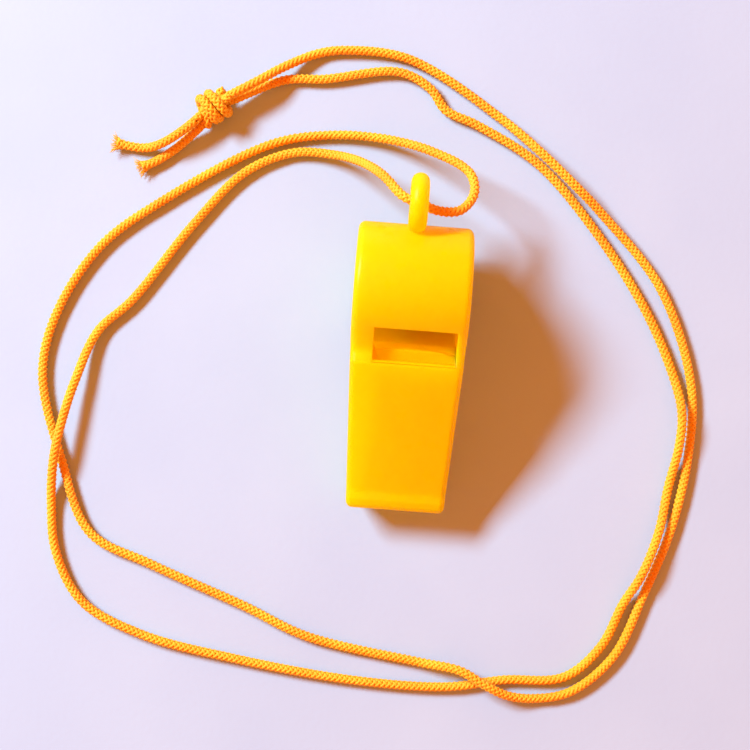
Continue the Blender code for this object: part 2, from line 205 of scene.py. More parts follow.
def braid(name, curve, start_turn=0.0):
    """A braided cord along a fine curve: yarns wound both ways, over and under, round a core."""
    points = even_points(curve, BRAID_LAY / POINTS_A_TURN)
    frames = carried_frames(points)
    tubes = bpy.data.curves.new(name, "CURVE")
    tubes.bevel_depth = YARN_RADIUS
    tubes.bevel_resolution = 1
    for way in (1, -1):
        for yarn in range(YARNS_EACH_WAY):
            line = []
            for index, (point, (across, beside)) in enumerate(zip(points, frames)):
                turn = 2 * math.pi * index / POINTS_A_TURN
                angle = start_turn + way * turn + 2 * math.pi * yarn / YARNS_EACH_WAY
                wave = math.cos(YARNS_EACH_WAY * turn) * way
                reach = YARN_RING + YARN_WAVE * wave
                line.append(point + (across * math.cos(angle) + beside * math.sin(angle)) * reach)
            add_line(tubes, line)
    add_line(tubes, even_points(curve, CORE_STEP), CORE_RADIUS / YARN_RADIUS)
    return curve_to_mesh(tubes, name)


def braid_yarn():
    """Dyed yarn: golden orange in patches, fine fibres along each yarn, a soft sheen, and a little
    light passing through."""
    material = bpy.data.materials.new("golden_yarn")
    material.use_nodes = True
    nodes = material.node_tree.nodes
    links = material.node_tree.links
    shader = nodes["Principled BSDF"]
    shader.inputs["Roughness"].default_value = 0.62
    shader.inputs["Sheen Weight"].default_value = 0.5
    shader.inputs["Sheen Roughness"].default_value = 0.4
    shader.inputs["Sheen Tint"].default_value = (1.0, 0.6, 0.12, 1.0)
    shader.inputs["Specular IOR Level"].default_value = 0.35
    place = nodes.new("ShaderNodeTexCoord")
    patches = nodes.new("ShaderNodeTexNoise")
    patches.inputs["Scale"].default_value = 160.0
    patches.inputs["Detail"].default_value = 3.0
    links.new(place.outputs["Object"], patches.inputs["Vector"])
    tone = nodes.new("ShaderNodeValToRGB")
    tone.color_ramp.elements[0].position = 0.3
    tone.color_ramp.elements[0].color = (1.0, 0.38, 0.005, 1.0)
    tone.color_ramp.elements[1].position = 0.7
    tone.color_ramp.elements[1].color = (1.0, 0.52, 0.014, 1.0)
    links.new(patches.outputs["Fac"], tone.inputs["Fac"])
    links.new(tone.outputs["Color"], shader.inputs["Base Color"])
    stretch = nodes.new("ShaderNodeMapping")
    links.new(place.outputs["UV"], stretch.inputs["Vector"])
    stretch.inputs["Scale"].default_value = (FIBRE_STRETCH, FIBRES, 1.0)
    fibres = nodes.new("ShaderNodeTexNoise")
    fibres.inputs["Scale"].default_value = 1.0
    fibres.inputs["Detail"].default_value = 2.0
    links.new(stretch.outputs["Vector"], fibres.inputs["Vector"])
    relief = nodes.new("ShaderNodeBump")
    relief.inputs["Strength"].default_value = 0.5
    relief.inputs["Distance"].default_value = 0.00006
    links.new(fibres.outputs["Fac"], relief.inputs["Height"])
    links.new(relief.outputs["Normal"], shader.inputs["Normal"])
    glow = nodes.new("ShaderNodeBsdfTranslucent")
    glow.inputs["Color"].default_value = (1.0, 0.55, 0.02, 1.0)
    strand = nodes.new("ShaderNodeMixShader")
    strand.inputs["Fac"].default_value = YARN_LIGHT_THROUGH
    links.new(shader.outputs["BSDF"], strand.inputs[1])
    links.new(glow.outputs["BSDF"], strand.inputs[2])
    links.new(strand.outputs["Shader"], nodes["Material Output"].inputs["Surface"])
    return material


yarn_material = braid_yarn()
curve_a = smooth_curve(STRAND_A)
curve_b = smooth_curve(STRAND_B)
strand_a = braid("braid_a", curve_a)
strand_b = braid("braid_b", curve_b)
for piece, node in ((strand_a, "lanyard_strand_a"), (strand_b, "lanyard_strand_b")):
    piece.data.materials.clear()
    piece.data.materials.append(yarn_material)
    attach(piece, "whistle")
    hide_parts(node)


# ---- Lanyard: the knot ----
# One small hard knot tied in both halves together, made here as it looks from outside: the
# doubled cord runs in, lies round itself in turns side by side, and leaves as the two tails.
KNOT_MIDDLE = Vector((-38.1, 40.0, 3.1)) * MM
KNOT_TURN = math.radians(35.0)
WRAP_ACROSS = 2.35
WRAP_UP = 2.05
WRAP_PITCH = 3.5
WRAP_SPACING = 1.75
WRAP_TURNS = 1.35
WRAP_START = math.radians(200.0)
WRAP_STEPS = 14
WRAP_SETTLE = 0.72
FIRST_WRAP_ALONG = 2.3
KNOT_BRAID_TURN = 0.3


def in_knot(along, across, up):
    """A place in millimetres from the knot's middle: along the cord, across it and up."""
    turned = Matrix.Rotation(KNOT_TURN, 3, "Z") @ Vector((-along, across, up))
    return tuple(KNOT_MIDDLE / MM + turned)


def knot_route(strand, tail, side):
    """One cord through the knot: in along the middle, back round it in turns, out as its tail."""
    route = [strand[-2], strand[-1]]
    route.append(in_knot(-1.0, 0.6 * side, 0.4))
    route.append(in_knot(1.2, 0.5 * side, 0.3))
    first_along = FIRST_WRAP_ALONG - (1 - side) / 2 * WRAP_SPACING
    for step in range(WRAP_STEPS + 1):
        share = step / WRAP_STEPS
        angle = WRAP_START + 2 * math.pi * WRAP_TURNS * share
        route.append(in_knot(first_along - WRAP_PITCH * WRAP_TURNS * share * WRAP_SETTLE,
                             WRAP_ACROSS * math.cos(angle), WRAP_UP * math.sin(angle)))
    route.append(in_knot(-0.4, -0.8, -0.3 + 0.5 * side))
    route.append(in_knot(1.4, -0.5 + 0.5 * side, -0.5))
    route += [tail[0], tail[1]]
    return route


TAIL_A = [(-40.8, 37.3, 3.9), (-43.3, 35.1, 3.5), (-47, 32.7, 2.6), (-50.3, 32, 1), (-54.8, 32.4, 1)]
TAIL_B = [(-40, 36.5, 2.1), (-44, 32.6, 1), (-47.5, 29.9, 1), (-50, 28.6, 1)]

knot_cords = []
for number, (strand, tail, side) in enumerate(((STRAND_A, TAIL_A, 1), (STRAND_B, TAIL_B, -1))):
    whole = smooth_curve(knot_route(strand, tail, side))
    inner = whole[CURVE_STEPS:-CURVE_STEPS]
    knot_cords.append(braid("knot_cord_" + "ab"[number], inner, start_turn=KNOT_BRAID_TURN))
knot_shape = bmesh.new()
for cord in knot_cords:
    knot_shape.from_mesh(cord.data)
    bpy.data.objects.remove(cord, do_unlink=True)
knot_mesh = bpy.data.meshes.new("overhand_knot")
knot_shape.to_mesh(knot_mesh)
knot_shape.free()
knot_mesh.shade_smooth()
knot = bpy.data.objects.new("overhand_knot", knot_mesh)
bpy.context.scene.collection.objects.link(knot)
knot_mesh.materials.append(yarn_material)
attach(knot, "whistle")
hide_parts("lanyard_knot")


# ---- Lanyard: the two tails ----
# The cord's cut ends.  They leave the knot side by side and part, and at each cut the braid has
# opened: the yarns flare and loose fibres stand out of them.
FRAY_LENGTH = 1.5 * MM
FRAY_SPREAD = 0.75
FIBRE_RADIUS = 0.035 * MM
FIBRES_AT_END = 70
FIBRE_ROOT = 0.7 * MM
FIBRE_SWAY = 0.25
FIBRE_STEPS = 4
END_FLARE = 0.45
FLARE_REACH = 2.5
END_LIFT = 0.02 * MM
TAIL_BRAID_TURN = 0.8
FIRST_FRAY_SEED = 5


def frayed_fibres(name, end, heading, seed):
    """Loose fibres that stand out of a cut end, longer and wider apart than the yarns."""
    chance = random.Random(seed)
    across = heading.orthogonal().normalized()
    beside = heading.cross(across)
    tubes = bpy.data.curves.new(name, "CURVE")
    tubes.bevel_depth = FIBRE_RADIUS
    tubes.bevel_resolution = 0
    for fibre in range(FIBRES_AT_END):
        angle = chance.uniform(0.0, 2 * math.pi)
        ring = chance.uniform(0.1, 1.0) ** 0.5
        out = across * math.cos(angle) + beside * math.sin(angle)
        root = end - heading * FIBRE_ROOT + out * ring * FIBRE_ROOT
        length = chance.uniform(0.8, 1.25) * FRAY_LENGTH
        lean = out * FRAY_SPREAD * ring * chance.uniform(0.5, 1.1)
        wander = (across * chance.uniform(-FIBRE_SWAY, FIBRE_SWAY)
                  + beside * chance.uniform(-FIBRE_SWAY, FIBRE_SWAY))
        line = []
        for step in range(FIBRE_STEPS + 1):
            share = step / FIBRE_STEPS
            place = root + heading * length * share
            place += (lean * share ** 1.5 + wander * share ** 2) * length
            place.z = max(place.z, FIBRE_RADIUS)
            line.append(place)
        add_line(tubes, line)
    return curve_to_mesh(tubes, name)


for number, (route, node) in enumerate(((TAIL_A, "cord_tail_a"), (TAIL_B, "cord_tail_b"))):
    curve = smooth_curve(route)
    tail = braid("tail_" + "ab"[number], curve, start_turn=TAIL_BRAID_TURN)
    end = curve[-1]
    heading = (curve[-1] - curve[-4]).normalized()
    for vertex in tail.data.vertices:
        back = (end - vertex.co).dot(heading)
        if back < FRAY_LENGTH and (vertex.co - end).length < FLARE_REACH * FRAY_LENGTH:
            opened = 1.0 + END_FLARE * (1.0 - max(0.0, back) / FRAY_LENGTH) ** 2
            axis = end - heading * back
            vertex.co = axis + (vertex.co - axis) * opened
            vertex.co.z = max(vertex.co.z, END_LIFT)
    fibres = frayed_fibres("fray_" + "ab"[number], end, heading,
                            FIRST_FRAY_SEED + number)
    tail_shape = bmesh.new()
    tail_shape.from_mesh(tail.data)
    tail_shape.from_mesh(fibres.data)
    tail_shape.to_mesh(tail.data)
    tail_shape.free()
    tail.data.shade_smooth()
    bpy.data.objects.remove(fibres, do_unlink=True)
    tail.data.materials.clear()
    tail.data.materials.append(yarn_material)
    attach(tail, "whistle")
    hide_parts(node)

even_points(curve_a, CORE_STEP)
even_points(curve_b, CORE_STEP)


# ---- Whistle body ----
# One injection moulding in glossy yellow plastic: a round barrel, a mouthpiece that narrows to
# its bite ridges, the sound window with its thin lip, and a ring eyelet.  Its sides are rounded.
BARREL_RADIUS = 11.5 * MM
BARREL_WALL = 2.0 * MM
CHAMBER_RADIUS = BARREL_RADIUS - BARREL_WALL
BODY_WIDTH = 20.0 * MM
SIDE_WALL = 1.7 * MM
SIDE_ROUND = 1.2 * MM
TIP_REACH = 37.9 * MM
TIP_TOP = 10.9 * MM
TIP_BOTTOM = 2.6 * MM
TIP_WIDTH = 17.4 * MM
TIP_ROUND = 1.3 * MM
TAPER_START = 4.0 * MM
RIDGE_HEIGHT = 0.5 * MM
RIDGE_LENGTH = 2.2 * MM
RIDGE_RAMP = 1.4 * MM
RIDGE_TOP_ROUND = 2.0 * MM
RIDGE_FOOT_ROUND = 2.5 * MM
CREST_DROP = 0.15 * MM
CREST_BACK = 0.3 * MM
CREST_FRONT = 2.8 * MM
CREST_BACK_ROUND = 1.5 * MM
CREST_FRONT_ROUND = 7.0 * MM
VALLEY_DEPTH = 1.2 * MM
VALLEY_ROUND = 2.5 * MM
VALLEY_PLACE = 0.7
ROOT_DROP = 2.0 * MM
ROOT_FILLET = 1.6 * MM
BARREL_ROUND_START = math.radians(97.0)
LIP_REACH = 3.2 * MM
LIP_THICKNESS = 0.5 * MM
LIP_FOOT = 0.2 * MM
WINDOW_LENGTH = 6.2 * MM
WINDOW_LEFT_MARGIN = 4.0 * MM
FLOOR_OVERHANG = 1.5 * MM
ROOF_THICKNESS = 1.3 * MM
EXIT_HEIGHT = 1.5 * MM
MOUTH_HEIGHT = 3.4 * MM
MOUTH_WALL = 1.7 * MM
EYELET_WIRE = 3.2 * MM
EYELET_OUTER = 10.4 * MM
EYELET_NECK = 0.8 * MM
CAP_THICKNESS = 1.7 * MM
CAP_SEAT_STEP = 0.6 * MM
JOINT_GAP = 0.3 * MM
BARREL_STEPS = 180
ARC_STEP = math.radians(5.0)
SIDE_SEGMENTS = 6
SIDE_FACING = 0.9
CUT_MARGIN = 1.0 * MM
RIM_ROUND = 0.14 * MM
RIM_ANGLE = math.radians(32.0)
RIM_SEGMENTS = 3
SHADE_ANGLE = math.radians(40.0)
EYELET_SEGMENTS = 32
EYELET_STEPS = 96
WELD = 0.01 * MM
WALL_LIGHT_THROUGH = 0.65
SKIN_GRAIN = 900.0
YELLOW = (1.0, 0.95, 0.002)
ROOF_END = LIP_REACH + WINDOW_LENGTH
ROOF_UNDERSIDE = BARREL_RADIUS - CREST_DROP - ROOF_THICKNESS
AXIS_PLACE = Vector(frame["record"]["behaviour"]["joints"][0]["pos_m"])
tip_edge = Vector((TIP_REACH - TIP_ROUND, TIP_BOTTOM + TIP_ROUND))
TILT = math.atan2(tip_edge.y, tip_edge.x) + math.asin((BARREL_RADIUS - TIP_ROUND) / tip_edge.length)
TO_PLACE = Matrix.Translation(AXIS_PLACE) @ Matrix.Rotation(TILT, 4, "X")


def round_corners(corners):
    """Replace each (reach, height, radius) corner of a closed outline by an arc of that radius."""
    outline = []
    for index, (reach, height, radius) in enumerate(corners):
        corner = Vector((reach, height))
        if radius == 0.0:
            outline.append(corner)
            continue
        before = (Vector(corners[index - 1][:2]) - corner).normalized()
        after = (Vector(corners[(index + 1) % len(corners)][:2]) - corner).normalized()
        opening = before.angle(after)
        setback = radius / math.tan(opening / 2)
        start = corner + before * setback
        middle = corner + (before + after).normalized() * (radius / math.sin(opening / 2))
        steps = max(3, math.ceil((math.pi - opening) / ARC_STEP))
        arm = start - middle
        swing = arm.angle_signed(corner + after * setback - middle)
        for step in range(steps + 1):
            outline.append(middle + Matrix.Rotation(-swing * step / steps, 2) @ arm)
    return outline


def body_outline():
    """The whistle seen from its side: the barrel's round, the crest, the roof, the ridges."""
    roof_top = BARREL_RADIUS - CREST_DROP
    ridge_start = TIP_REACH - RIDGE_LENGTH
    ridge_foot = ridge_start - RIDGE_RAMP
    root_height = TIP_BOTTOM + RIDGE_HEIGHT - ROOT_DROP
    corners = [
        (LIP_REACH + WINDOW_LENGTH * VALLEY_PLACE, roof_top - VALLEY_DEPTH, VALLEY_ROUND),
        (ROOF_END + CREST_BACK, roof_top, CREST_BACK_ROUND),
        (ROOF_END + CREST_FRONT, roof_top, CREST_FRONT_ROUND),
        (ridge_foot, TIP_TOP - RIDGE_HEIGHT, RIDGE_FOOT_ROUND),
        (ridge_start, TIP_TOP, RIDGE_TOP_ROUND),
        (TIP_REACH, TIP_TOP, TIP_ROUND),
        (TIP_REACH, TIP_BOTTOM, TIP_ROUND),
        (ridge_start, TIP_BOTTOM, RIDGE_TOP_ROUND),
        (ridge_foot, TIP_BOTTOM + RIDGE_HEIGHT, RIDGE_FOOT_ROUND),
        (math.sqrt(BARREL_RADIUS ** 2 - root_height ** 2), root_height, ROOT_FILLET),
    ]
    last = 2 * math.pi + math.asin(LIP_REACH / BARREL_RADIUS)
    count = round(BARREL_STEPS * (last - BARREL_ROUND_START) / (2 * math.pi))
    for step in range(count + 1):
        angle = BARREL_ROUND_START + (last - BARREL_ROUND_START) * step / count
        corners.append((BARREL_RADIUS * math.sin(angle), BARREL_RADIUS * math.cos(angle), 0.0))
    return round_corners(corners)


def half_width(reach):
    """Half the body's width: even round the barrel, then straight to the tip's width."""
    narrowing = (1.0 - TIP_WIDTH / BODY_WIDTH) / (TIP_REACH - TAPER_START)
    return BODY_WIDTH / 2 * (1.0 - narrowing * max(0.0, reach - TAPER_START))


def prism(outline, left, right):
    """A straight slab with the given side outline, between two X places."""
    shape = bmesh.new()
    side = shape.faces.new([shape.verts.new((left, -point[0], point[1])) for point in outline])
    swept = bmesh.ops.extrude_face_region(shape, geom=[side])
    moved = [item for item in swept["geom"] if isinstance(item, bmesh.types.BMVert)]
    bmesh.ops.translate(shape, verts=moved, vec=(right - left, 0.0, 0.0))
    bmesh.ops.recalc_face_normals(shape, faces=shape.faces[:])
    return shape


def body_block():
    """The solid whistle before it is hollowed: rounded side edges and a tapered mouthpiece."""
    shape = prism(body_outline(), -BODY_WIDTH / 2, BODY_WIDTH / 2)
    rim = [edge for edge in shape.edges
           if any(abs(face.normal.x) > SIDE_FACING for face in edge.link_faces)]
    bmesh.ops.bevel(shape, geom=rim, offset=SIDE_ROUND, offset_type="OFFSET",
                    segments=SIDE_SEGMENTS, profile=0.5, affect="EDGES", clamp_overlap=False,
                    material=-1)
    bmesh.ops.bisect_plane(shape, geom=shape.verts[:] + shape.edges[:] + shape.faces[:],
                           plane_co=(0.0, -TAPER_START, 0.0), plane_no=(0.0, 1.0, 0.0))
    for vertex in shape.verts:
        vertex.co.x *= half_width(-vertex.co.y) / half_width(0.0)
    return shape


def cylinder(radius, left, right):
    """A round cutter about the barrel's axis, between two X places."""
    shape = bmesh.new()
    bmesh.ops.create_cone(shape, cap_ends=True, segments=BARREL_STEPS, radius1=radius,
                          radius2=radius, depth=right - left)
    bmesh.ops.rotate(shape, verts=shape.verts[:], matrix=Matrix.Rotation(math.pi / 2, 3, "Y"))
    bmesh.ops.translate(shape, verts=shape.verts[:], vec=((left + right) / 2, 0.0, 0.0))
    return shape


def eyelet_ring():
    """A round wire turned into a ring that stands on the back of the barrel."""
    reach = BARREL_RADIUS - EYELET_NECK + EYELET_OUTER / 2
    wire_place = (EYELET_OUTER - EYELET_WIRE) / 2
    shape = bmesh.new()
    bmesh.ops.create_circle(shape, segments=EYELET_SEGMENTS, radius=EYELET_WIRE / 2)
    bmesh.ops.translate(shape, verts=shape.verts[:], vec=(0.0, wire_place, 0.0))
    bmesh.ops.spin(shape, geom=shape.verts[:] + shape.edges[:], cent=(0.0, 0.0, 0.0),
                   axis=(1.0, 0.0, 0.0), angle=2 * math.pi, steps=EYELET_STEPS, use_merge=True)
    bmesh.ops.translate(shape, verts=shape.verts[:], vec=(0.0, reach, 0.0))
    bmesh.ops.remove_doubles(shape, verts=shape.verts[:], dist=0.0001 * MM)
    bmesh.ops.recalc_face_normals(shape, faces=shape.faces[:])
    return shape


def window_cutter():
    """The sound window down into the chamber, with its lip left standing at the back."""
    floor_end = ROOF_END - FLOOR_OVERHANG
    low = ROOF_UNDERSIDE - EXIT_HEIGHT / 2
    deep = CHAMBER_RADIUS / 2
    above = BARREL_RADIUS + CUT_MARGIN
    lip_underside = math.sqrt(BARREL_RADIUS ** 2 - LIP_REACH ** 2) - LIP_THICKNESS
    outline = [(floor_end, deep), (0.0, deep), (0.0, CHAMBER_RADIUS - LIP_FOOT),
               (LIP_REACH, lip_underside), (LIP_REACH, above), (ROOF_END, above),
               (ROOF_END, low), (floor_end, low)]
    return prism(outline, -BODY_WIDTH / 2 + WINDOW_LEFT_MARGIN, BODY_WIDTH / 2 - SIDE_WALL)


def windway_cutter():
    """The flat air path from the mouth to the window, wider and taller at the mouth."""
    mouth_top = TIP_TOP - MOUTH_WALL
    mouth_half = half_width(TIP_REACH) - MOUTH_WALL
    left = -BODY_WIDTH / 2 + WINDOW_LEFT_MARGIN
    right = BODY_WIDTH / 2 - SIDE_WALL
    ends = [(ROOF_END - FLOOR_OVERHANG - CUT_MARGIN, ROOF_UNDERSIDE - EXIT_HEIGHT,
             ROOF_UNDERSIDE, left, right),
            (TIP_REACH + CUT_MARGIN, mouth_top - MOUTH_HEIGHT, mouth_top, -mouth_half, mouth_half)]
    shape = bmesh.new()
    rims = []
    for reach, low, high, near, far in ends:
        corners = [shape.verts.new((x, -reach, z))
                   for x, z in ((near, low), (far, low), (far, high), (near, high))]
        rims += [shape.edges.new((corners[index - 1], corners[index])) for index in range(4)]
    bmesh.ops.bridge_loops(shape, edges=rims)
    bmesh.ops.holes_fill(shape, edges=shape.edges[:], sides=4)
    bmesh.ops.recalc_face_normals(shape, faces=shape.faces[:])
    return shape


def as_object(shape, name):
    """A finished shape as an object of its own, at the origin."""
    mesh = bpy.data.meshes.new(name)
    shape.to_mesh(mesh)
    shape.free()
    thing = bpy.data.objects.new(name, mesh)
    bpy.context.scene.collection.objects.link(thing)
    return thing


def carve(shape, name, steps):
    """Join or cut a shape with others, one after the other, and give back the finished shape."""
    target = as_object(shape, name)
    tools = []
    for number, (tool_shape, operation) in enumerate(steps):
        tool = as_object(tool_shape, name + "_tool_" + str(number))
        modifier = target.modifiers.new(tool.name, "BOOLEAN")
        modifier.operation = operation
        modifier.solver = "EXACT"
        modifier.object = tool
        tools.append(tool)
    bpy.context.view_layer.update()
    mesh = bpy.data.meshes.new_from_object(
        target.evaluated_get(bpy.context.evaluated_depsgraph_get()))
    for thing in tools + [target]:
        bpy.data.objects.remove(thing, do_unlink=True)
    result = bmesh.new()
    result.from_mesh(mesh)
    bpy.data.meshes.remove(mesh)
    return result


def fixed_order(shape):
    """Number a shape's corners, edges and faces by where they lie, so each run is the same."""
    ranks = {corner: rank for rank, corner in
             enumerate(sorted(shape.verts, key=lambda corner: corner.co[:]))}
    shape.verts.sort(key=lambda corner: ranks[corner])
    shape.verts.index_update()
    for parts in (shape.edges, shape.faces):
        ranks = {part: rank for rank, part in enumerate(sorted(
            parts, key=lambda part: sorted(corner.index for corner in part.verts)))}
        parts.sort(key=lambda part: ranks[part])
        parts.index_update()


def soften_rims(shape, width, angle):
    """Give every sharp edge the small round that a mould leaves."""
    fixed_order(shape)
    bmesh.ops.remove_doubles(shape, verts=shape.verts[:], dist=WELD)
    bmesh.ops.dissolve_degenerate(shape, dist=WELD, edges=shape.edges[:])
    sharp = [edge for edge in shape.edges
             if len(edge.link_faces) == 2 and edge.calc_face_angle(0.0) > angle]
    bmesh.ops.bevel(shape, geom=sharp, offset=width, offset_type="OFFSET",
                    segments=RIM_SEGMENTS, profile=0.5, affect="EDGES", clamp_overlap=False,
                    material=-1)


def settle(shape, name, smooth_angle):
    """Put a finished shape in its place on the table and make it a piece."""
    bmesh.ops.transform(shape, matrix=TO_PLACE, verts=shape.verts[:])
    bmesh.ops.triangulate(shape, faces=[face for face in shape.faces if len(face.verts) > 4])
    piece = as_object(shape, name)
    piece.data.shade_smooth()
    piece.data.set_sharp_from_angle(angle=smooth_angle)
    return piece


def moulded_plastic(name, colour, grain):
    """Glossy plastic with thin walls that light soaks into and passes through: flow patches, a fine
    moulded skin, light scratches."""
    material = bpy.data.materials.new(name)
    material.use_nodes = True
    nodes = material.node_tree.nodes
    links = material.node_tree.links
    shader = nodes["Principled BSDF"]
    shader.inputs["IOR"].default_value = 1.46
    shader.inputs["Specular IOR Level"].default_value = 0.3
    shader.inputs["Subsurface Weight"].default_value = 0.85
    shader.inputs["Subsurface Radius"].default_value = (1.0, 0.42, 0.05)
    shader.inputs["Subsurface Scale"].default_value = 0.0025
    place = nodes.new("ShaderNodeTexCoord")
    flow = nodes.new("ShaderNodeTexNoise")
    flow.inputs["Scale"].default_value = 55.0
    flow.inputs["Detail"].default_value = 3.0
    flow.inputs["Distortion"].default_value = 0.6
    links.new(place.outputs["Object"], flow.inputs["Vector"])
    tone = nodes.new("ShaderNodeValToRGB")
    tone.color_ramp.elements[0].position = 0.3
    tone.color_ramp.elements[0].color = (*[part * 0.95 for part in colour], 1.0)
    tone.color_ramp.elements[1].position = 0.7
    tone.color_ramp.elements[1].color = (*colour, 1.0)
    links.new(flow.outputs["Fac"], tone.inputs["Fac"])
    links.new(tone.outputs["Color"], shader.inputs["Base Color"])
    rub = nodes.new("ShaderNodeTexNoise")
    rub.inputs["Scale"].default_value = 320.0
    rub.inputs["Detail"].default_value = 5.0
    links.new(place.outputs["Object"], rub.inputs["Vector"])
    gloss = nodes.new("ShaderNodeMapRange")
    gloss.inputs["From Min"].default_value = 0.35
    gloss.inputs["From Max"].default_value = 0.75
    gloss.inputs["To Min"].default_value = 0.26
    gloss.inputs["To Max"].default_value = 0.42
    links.new(rub.outputs["Fac"], gloss.inputs["Value"])
    links.new(gloss.outputs["Result"], shader.inputs["Roughness"])
    skin = nodes.new("ShaderNodeTexNoise")
    skin.inputs["Scale"].default_value = grain
    skin.inputs["Detail"].default_value = 4.0
    links.new(place.outputs["Object"], skin.inputs["Vector"])
    scratch_place = nodes.new("ShaderNodeMapping")
    scratch_place.inputs["Rotation"].default_value = (0.2, 0.1, 0.6)
    scratch_place.inputs["Scale"].default_value = (2600.0, 60.0, 2600.0)
    links.new(place.outputs["Object"], scratch_place.inputs["Vector"])
    scratches = nodes.new("ShaderNodeTexNoise")
    scratches.inputs["Scale"].default_value = 1.0
    scratches.inputs["Detail"].default_value = 1.0
    links.new(scratch_place.outputs["Vector"], scratches.inputs["Vector"])
    scratch_edge = nodes.new("ShaderNodeMapRange")
    scratch_edge.inputs["From Min"].default_value = 0.68
    scratch_edge.inputs["From Max"].default_value = 0.8
    links.new(scratches.outputs["Fac"], scratch_edge.inputs["Value"])
    skin_relief = nodes.new("ShaderNodeBump")
    skin_relief.inputs["Strength"].default_value = 0.12
    skin_relief.inputs["Distance"].default_value = 0.00004
    links.new(skin.outputs["Fac"], skin_relief.inputs["Height"])
    scratch_relief = nodes.new("ShaderNodeBump")
    scratch_relief.invert = True
    scratch_relief.inputs["Strength"].default_value = 0.08
    scratch_relief.inputs["Distance"].default_value = 0.00002
    links.new(scratch_edge.outputs["Result"], scratch_relief.inputs["Height"])
    links.new(skin_relief.outputs["Normal"], scratch_relief.inputs["Normal"])
    links.new(scratch_relief.outputs["Normal"], shader.inputs["Normal"])
    glow = nodes.new("ShaderNodeBsdfTranslucent")
    glow.inputs["Color"].default_value = (1.0, 0.68, 0.002, 1.0)
    wall = nodes.new("ShaderNodeMixShader")
    wall.inputs["Fac"].default_value = WALL_LIGHT_THROUGH
    links.new(shader.outputs["BSDF"], wall.inputs[1])
    links.new(glow.outputs["BSDF"], wall.inputs[2])
    links.new(wall.outputs["Shader"], nodes["Material Output"].inputs["Surface"])
    return material


yellow = moulded_plastic("yellow_plastic", YELLOW, SKIN_GRAIN)
left_side = -BODY_WIDTH / 2
body_shape = carve(body_block(), "moulded_body", [
    (eyelet_ring(), "UNION"),
    (cylinder(CHAMBER_RADIUS, left_side - CUT_MARGIN, BODY_WIDTH / 2 - SIDE_WALL), "DIFFERENCE"),
    (cylinder(CHAMBER_RADIUS + CAP_SEAT_STEP, left_side - CUT_MARGIN,
              left_side + CAP_THICKNESS + JOINT_GAP), "DIFFERENCE"),
    (window_cutter(), "DIFFERENCE"),
    (windway_cutter(), "DIFFERENCE"),
])
soften_rims(body_shape, RIM_ROUND, RIM_ANGLE)
body = settle(body_shape, "moulded_body", SHADE_ANGLE)
body.data.materials.append(yellow)
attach(body, "whistle")
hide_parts("whistle_body")


# ---- Side cap ----
# A round disc in the same plastic with a ring on its inner face.  It is pushed into the open left
# side of the barrel and glued, after the pea has gone in.
SPIGOT_LENGTH = 2.0 * MM
SPIGOT_WALL = 1.3 * MM
CAP_EDGE_ROUND = 0.2 * MM
CAP_DISH = 0.12 * MM
CAP_DISH_RIM = 2.2 * MM


def turned_ring(profile):
    """Spin a closed (radius, X place) profile that starts and ends on the barrel's axis."""
    shape = bmesh.new()
    points = [shape.verts.new((place, 0.0, radius)) for radius, place in profile]
    edges = [shape.edges.new(pair) for pair in zip(points, points[1:])]
    bmesh.ops.spin(shape, geom=points + edges, cent=(0.0, 0.0, 0.0), axis=(1.0, 0.0, 0.0),
                   angle=2 * math.pi, steps=BARREL_STEPS, use_merge=True)
    bmesh.ops.remove_doubles(shape, verts=shape.verts[:], dist=0.001 * MM)
    bmesh.ops.recalc_face_normals(shape, faces=shape.faces[:])
    return shape


cap_inner = left_side + CAP_THICKNESS
cap_radius = CHAMBER_RADIUS + CAP_SEAT_STEP - JOINT_GAP
spigot_outside = CHAMBER_RADIUS - JOINT_GAP
spigot_inside = spigot_outside - SPIGOT_WALL
cap_shape = turned_ring([
    (0.0, cap_inner), (spigot_inside, cap_inner), (spigot_inside, cap_inner + SPIGOT_LENGTH),
    (spigot_outside, cap_inner + SPIGOT_LENGTH), (spigot_outside, cap_inner),
    (cap_radius, cap_inner), (cap_radius, left_side),
    (cap_radius - CAP_DISH_RIM, left_side),
    (cap_radius - CAP_DISH_RIM - CAP_DISH, left_side + CAP_DISH), (0.0, left_side + CAP_DISH)])
soften_rims(cap_shape, CAP_EDGE_ROUND, RIM_ANGLE)
cap = settle(cap_shape, "pressed_cap", SHADE_ANGLE)
cap.data.materials.append(yellow)
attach(cap, "whistle")
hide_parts("side_cap")


# ---- Pea ----
# A loose ball of raw cork, a little uneven and pitted, that the breath drives round the barrel.
PEA_SIDE_ROOM = 1.5 * MM
PEA_CLEARANCE = 0.3 * MM
PEA_UNEVEN = 0.12 * MM
PEA_LUMP_SCALE = 350.0

pea_left = cap_inner + SPIGOT_LENGTH
pea_right = BODY_WIDTH / 2 - SIDE_WALL
pea_radius = (pea_right - pea_left) / 2 - PEA_SIDE_ROOM
pea_place = Vector(((pea_left + pea_right) / 2, 0.0,
                    -(CHAMBER_RADIUS - pea_radius - PEA_CLEARANCE))) + AXIS_PLACE
pea_shape = bmesh.new()
bmesh.ops.create_icosphere(pea_shape, subdivisions=6, radius=pea_radius)
for vertex in pea_shape.verts:
    lumps = noise.fractal(vertex.co * PEA_LUMP_SCALE, 1.0, 2.0, 4)
    vertex.co *= 1.0 - abs(lumps) * PEA_UNEVEN / pea_radius
bmesh.ops.translate(pea_shape, verts=pea_shape.verts[:], vec=pea_place)
pea = as_object(pea_shape, "cork_pea")
pea.data.shade_smooth()


